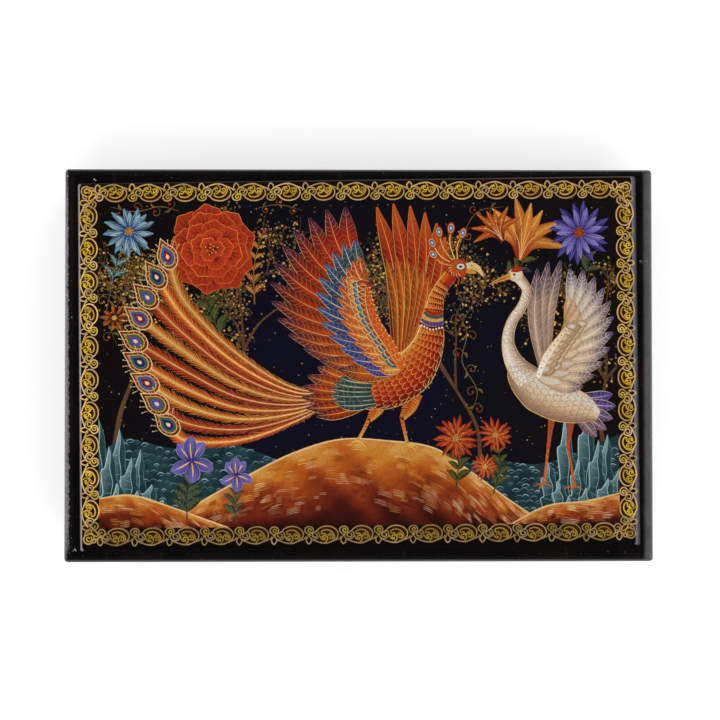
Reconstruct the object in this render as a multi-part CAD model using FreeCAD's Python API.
import FreeCAD
import Part

import math
import os

from FreeCAD import Vector

# A small lacquered papier-mache box with a hinged lid.
#
# The walls are one wound tube, sawn apart at the parting line: the lower part is the body wall and the
# upper part is the lid's skirt. A plate closes each end of the tube. Four mitred lining strips stand
# inside the body wall and rise above it as a lip, which the skirt fits over. The lid plate carries a thin
# raised picture plate that was set on by hand, a little askew. A five-knuckle metal hinge is sunk into
# the middle of the rear wall: each leaf sits in a slot and short rivets, driven in from the inside, hold
# it there. The rear edges are bevelled away from the hinge axis, so that the lid can lean back past
# upright and rest on the bevels.
#
# Millimetres. X runs along the picture, Y towards the hinge, Z up. The origin is the centre of the underside.

# The closed box
box_length = 120.0
box_width = 80.0
body_height = 27.4
skirt_height = 8.0
lid_plate_thickness = 3.65
bottom_plate_thickness = 3.5
parting_gap = 0.15
corner_radius = 1.2
lid_end_rounding = 2.0
lid_long_edge_rounding = 1.3
foot_edge_rounding = 0.8

# The walls and their lining
body_wall_thickness = 4.0
tube_inside_radius = 0.6
lip_thickness = 1.8
lip_rise = 3.0
lip_clearance = 0.4
lip_edge_rounding = 0.5

# The picture plate
picture_length = 114.5
picture_width = 75.2
picture_thickness = 0.8
picture_corner_radius = 0.6
picture_edge_rounding = 0.45
picture_offset_x = 0.1
picture_offset_y = 0.35
picture_skew_degrees = 0.45

# The hinge
hinge_length = 36.0
knuckle_count = 5
knuckle_gap = 0.2
barrel_radius = 1.25
barrel_setback = 0.25
leaf_thickness = 0.6
body_leaf_depth = 8.0
lid_leaf_depth = 6.0
pin_clearance = 0.05
pin_head_radius = 0.95
pin_head_length = 0.4
groove_clearance = 0.25
rivet_radius = 0.4
rivet_bite = 1.0
rivet_depth_share = 0.6
lid_opening_degrees = 100.0
stop_allowance_degrees = 4.0

# Every cutting tool runs past what it cuts by this much.
overrun = 2.0

# Heights
lid_bottom = body_height + parting_gap
skirt_top = lid_bottom + skirt_height
lid_top = skirt_top + lid_plate_thickness

# Faces of the walls
inside_length = box_length - 2 * body_wall_thickness
inside_width = box_width - 2 * body_wall_thickness
skirt_inside_length = inside_length + 2 * lip_clearance
skirt_inside_width = inside_width + 2 * lip_clearance
lining_length = inside_length - 2 * lip_thickness
lining_width = inside_width - 2 * lip_thickness
rear_face = box_width / 2

# Hinge axis: parallel to X, inside the rear face, midway in the parting gap
axis_inset = barrel_radius + barrel_setback
axis_y = rear_face - axis_inset
axis_z = body_height + parting_gap / 2
groove_radius = barrel_radius + groove_clearance
bore_radius = barrel_radius - leaf_thickness
pin_radius = bore_radius - pin_clearance
knuckle_pitch = (hinge_length + knuckle_gap) / knuckle_count
knuckle_length = knuckle_pitch - knuckle_gap
bevel_degrees = (lid_opening_degrees + stop_allowance_degrees) / 2
leaf_front = axis_y - barrel_radius
leaf_back = leaf_front + leaf_thickness
body_knuckles = range(0, knuckle_count, 2)
lid_knuckles = range(1, knuckle_count, 2)


def block(length, width, low, high, radius=0):
    """An upright rectangular block centred on Z, with rounded vertical corners."""
    solid = Part.makeBox(length, width, high - low, Vector(-length / 2, -width / 2, low))
    if radius:
        upright = [edge for edge in solid.Edges if abs(edge.tangentAt(edge.FirstParameter).z) > 0.5]
        solid = solid.makeFillet(radius, upright)
    return solid


def edges_at_height(solid, height):
    """The edges that lie wholly at one height."""
    close = parting_gap / 10
    boxes = [(edge, edge.BoundBox) for edge in solid.Edges]
    return [edge for edge, box in boxes if box.ZMin > height - close and box.ZMax < height + close]


def along_x(radius, start, end):
    """A round bar on the hinge axis, from one place on X to another."""
    return Part.makeCylinder(radius, end - start, Vector(start, axis_y, axis_z), Vector(1, 0, 0))


def prism_along(points, travel):
    """A flat outline, pushed along a vector."""
    return Part.Face(Part.makePolygon(points + points[:1])).extrude(travel)


def rear_bevel():
    """The wedge behind the hinge axis that both rear edges lose, so that the lid has room to lean back."""
    reach = axis_inset + overrun
    rise = reach * math.tan(math.radians(bevel_degrees))
    start = -box_length / 2 - overrun
    outline = [
        Vector(start, axis_y, axis_z),
        Vector(start, axis_y + reach, axis_z - rise),
        Vector(start, axis_y + reach, axis_z + rise),
    ]
    return prism_along(outline, Vector(box_length + 2 * overrun, 0, 0))


def barrel_groove():
    """The round trough that the knuckles and the pin's heads turn in."""
    half = hinge_length / 2 + pin_head_length + groove_clearance
    return along_x(groove_radius, -half, half)


def leaf_slab(depth):
    """The flat of a hinge leaf, which reaches down into the body for a negative depth, and else up."""
    low = min(axis_z, axis_z + depth)
    return Part.makeBox(hinge_length, leaf_thickness, abs(depth), Vector(-hinge_length / 2, leaf_front, low))


def knuckle_span(index):
    """Where one knuckle starts and ends on X."""
    start = -hinge_length / 2 + index * knuckle_pitch
    return start, start + knuckle_length


def rivets(depth, own, wall_face):
    """The rivets of one leaf, one in line with each knuckle, from the wall's inner face through the leaf."""
    height = axis_z + depth * rivet_depth_share
    length = leaf_back + rivet_bite - wall_face
    pins = []
    for index in own:
        foot = Vector(sum(knuckle_span(index)) / 2, wall_face, height)
        pins.append(Part.makeCylinder(rivet_radius, length, foot, Vector(0, 1, 0)))
    return Part.makeCompound(pins)


def body_rivets():
    """The rivets that hold the lower leaf in the body wall."""
    return rivets(-body_leaf_depth, body_knuckles, inside_width / 2)


def lid_rivets():
    """The rivets that hold the upper leaf in the lid's skirt."""
    return rivets(lid_leaf_depth, lid_knuckles, skirt_inside_width / 2)


def hinge_leaf(depth, own, other):
    """A leaf with its own knuckles rolled round the bore, cut away where the other leaf's knuckles turn."""
    leaf = leaf_slab(depth)
    for index in other:
        start, end = knuckle_span(index)
        leaf = leaf.cut(along_x(groove_radius, start - knuckle_gap, end + knuckle_gap))
    for index in own:
        leaf = leaf.fuse(along_x(barrel_radius, *knuckle_span(index)))
    bore = along_x(bore_radius, -hinge_length / 2 - overrun, hinge_length / 2 + overrun)
    return leaf.cut(bore).removeSplitter()


def hinge_pin():
    """The wire through the knuckles, with its ends peened over."""
    half = hinge_length / 2
    pin = along_x(pin_radius, -half - pin_head_length, half + pin_head_length)
    pin = pin.fuse(along_x(pin_head_radius, -half - pin_head_length, -half))
    pin = pin.fuse(along_x(pin_head_radius, half, half + pin_head_length))
    return pin.removeSplitter()


def bottom_plate():
    """The plate under the walls, with its foot edge eased."""
    plate = block(box_length, box_width, 0, bottom_plate_thickness, corner_radius)
    return plate.makeFillet(foot_edge_rounding, edges_at_height(plate, 0))


def body_wall():
    """The lower part of the wound tube, bevelled and grooved at the rear for the hinge."""
    outside = block(box_length, box_width, bottom_plate_thickness, body_height, corner_radius)
    inside = block(inside_length, inside_width, 0, lid_top, tube_inside_radius)
    wall = outside.cut(inside).cut(rear_bevel()).cut(barrel_groove())
    return wall.cut(leaf_slab(-body_leaf_depth)).cut(body_rivets())


def lid_skirt():
    """The upper part of the wound tube, pared inside so that it slips over the lip."""
    outside = block(box_length, box_width, lid_bottom, skirt_top, corner_radius)
    inside = block(skirt_inside_length, skirt_inside_width, 0, lid_top, tube_inside_radius)
    wall = outside.cut(inside).cut(rear_bevel()).cut(barrel_groove())
    return wall.cut(leaf_slab(lid_leaf_depth)).cut(lid_rivets())


def rounded_bar(width, rounding, travel, across):
    """A bar as thick as the lid plate, with its two long upper edges rounded."""
    half = width / 2
    low = skirt_top
    flat = half - rounding
    shoulder = lid_top - rounding
    middle = rounding * math.sqrt(0.5)

    def at(out, up):
        return across * out + Vector(0, 0, up)

    edges = [
        Part.makeLine(at(-half, low), at(half, low)),
        Part.makeLine(at(half, low), at(half, shoulder)),
        Part.Arc(at(half, shoulder), at(flat + middle, shoulder + middle), at(flat, lid_top)).toShape(),
        Part.makeLine(at(flat, lid_top), at(-flat, lid_top)),
        Part.Arc(at(-flat, lid_top), at(-flat - middle, shoulder + middle), at(-half, shoulder)).toShape(),
        Part.makeLine(at(-half, shoulder), at(-half, low)),
    ]
    bar = Part.Face(Part.Wire(edges)).extrude(travel)
    return bar.translated(travel * -0.5)


def lid_plate():
    """The plate over the skirt. Its upper edges are rounded one side at a time, so they meet in mitres."""
    along = Vector(box_length + 2 * overrun, 0, 0)
    athwart = Vector(0, box_width + 2 * overrun, 0)
    long_bar = rounded_bar(box_width, lid_long_edge_rounding, along, Vector(0, 1, 0))
    cross_bar = rounded_bar(box_length, lid_end_rounding, athwart, Vector(1, 0, 0))
    outline = block(box_length, box_width, skirt_top, lid_top, corner_radius)
    return outline.common(long_bar).common(cross_bar)


def picture_plate():
    """The thin plate on the lid that the painting lies on, turned and shifted as it was stuck down."""
    top = lid_top + picture_thickness
    plate = block(picture_length, picture_width, lid_top, top, picture_corner_radius)
    plate = plate.makeFillet(picture_edge_rounding, edges_at_height(plate, top))
    plate.rotate(Vector(0, 0, 0), Vector(0, 0, 1), picture_skew_degrees)
    plate.translate(Vector(picture_offset_x, picture_offset_y, 0))
    return plate


def lining():
    """The lining of the body wall in one piece, with the rim of its lip eased on both sides."""
    lip_top = body_height + lip_rise
    outside = block(inside_length, inside_width, bottom_plate_thickness, lip_top, tube_inside_radius)
    inside = block(lining_length, lining_width, 0, lid_top)
    ring = outside.cut(inside)
    return ring.makeFillet(lip_edge_rounding, edges_at_height(ring, lip_top))


def mitre(side_x, side_y):
    """The space on one side of the box, between the two mitre planes through the lining's corners."""
    reach_x = box_length / 2
    reach_y = reach_x - inside_length / 2 + inside_width / 2
    ridge = inside_length / 2 - inside_width / 2
    if side_x:
        outline = [
            Vector(side_x * ridge, 0, 0),
            Vector(side_x * reach_x, reach_y, 0),
            Vector(side_x * reach_x, -reach_y, 0),
        ]
    else:
        outline = [
            Vector(-ridge, 0, 0),
            Vector(ridge, 0, 0),
            Vector(reach_x, side_y * reach_y, 0),
            Vector(-reach_x, side_y * reach_y, 0),
        ]
    return prism_along(outline, Vector(0, 0, lid_top))


def main():
    whole_lining = lining()
    parts = {
        "bottom_plate": bottom_plate(),
        "body_wall": body_wall(),
        "lining_front": whole_lining.common(mitre(0, -1)),
        "lining_rear": whole_lining.common(mitre(0, 1)),
        "lining_left": whole_lining.common(mitre(-1, 0)),
        "lining_right": whole_lining.common(mitre(1, 0)),
        "hinge_leaf_body": hinge_leaf(-body_leaf_depth, body_knuckles, lid_knuckles).cut(body_rivets()),
        "hinge_rivets_body": body_rivets(),
        "hinge_pin": hinge_pin(),
        "hinge_leaf_lid": hinge_leaf(lid_leaf_depth, lid_knuckles, body_knuckles).cut(lid_rivets()),
        "hinge_rivets_lid": lid_rivets(),
        "lid_skirt": lid_skirt(),
        "lid_plate": lid_plate(),
        "picture_plate": picture_plate(),
    }
    os.makedirs("parts", exist_ok=True)
    for name, shape in parts.items():
        box = shape.BoundBox
        size = f"{box.XLength:.2f} x {box.YLength:.2f} x {box.ZLength:.2f}"
        state = f"solids {len(shape.Solids)}, valid {shape.isValid()}"
        print(f"{name}: {size} mm, {shape.Volume:.1f} mm3, {state}")
        shape.exportStep(os.path.join("parts", name + ".step"))


main()
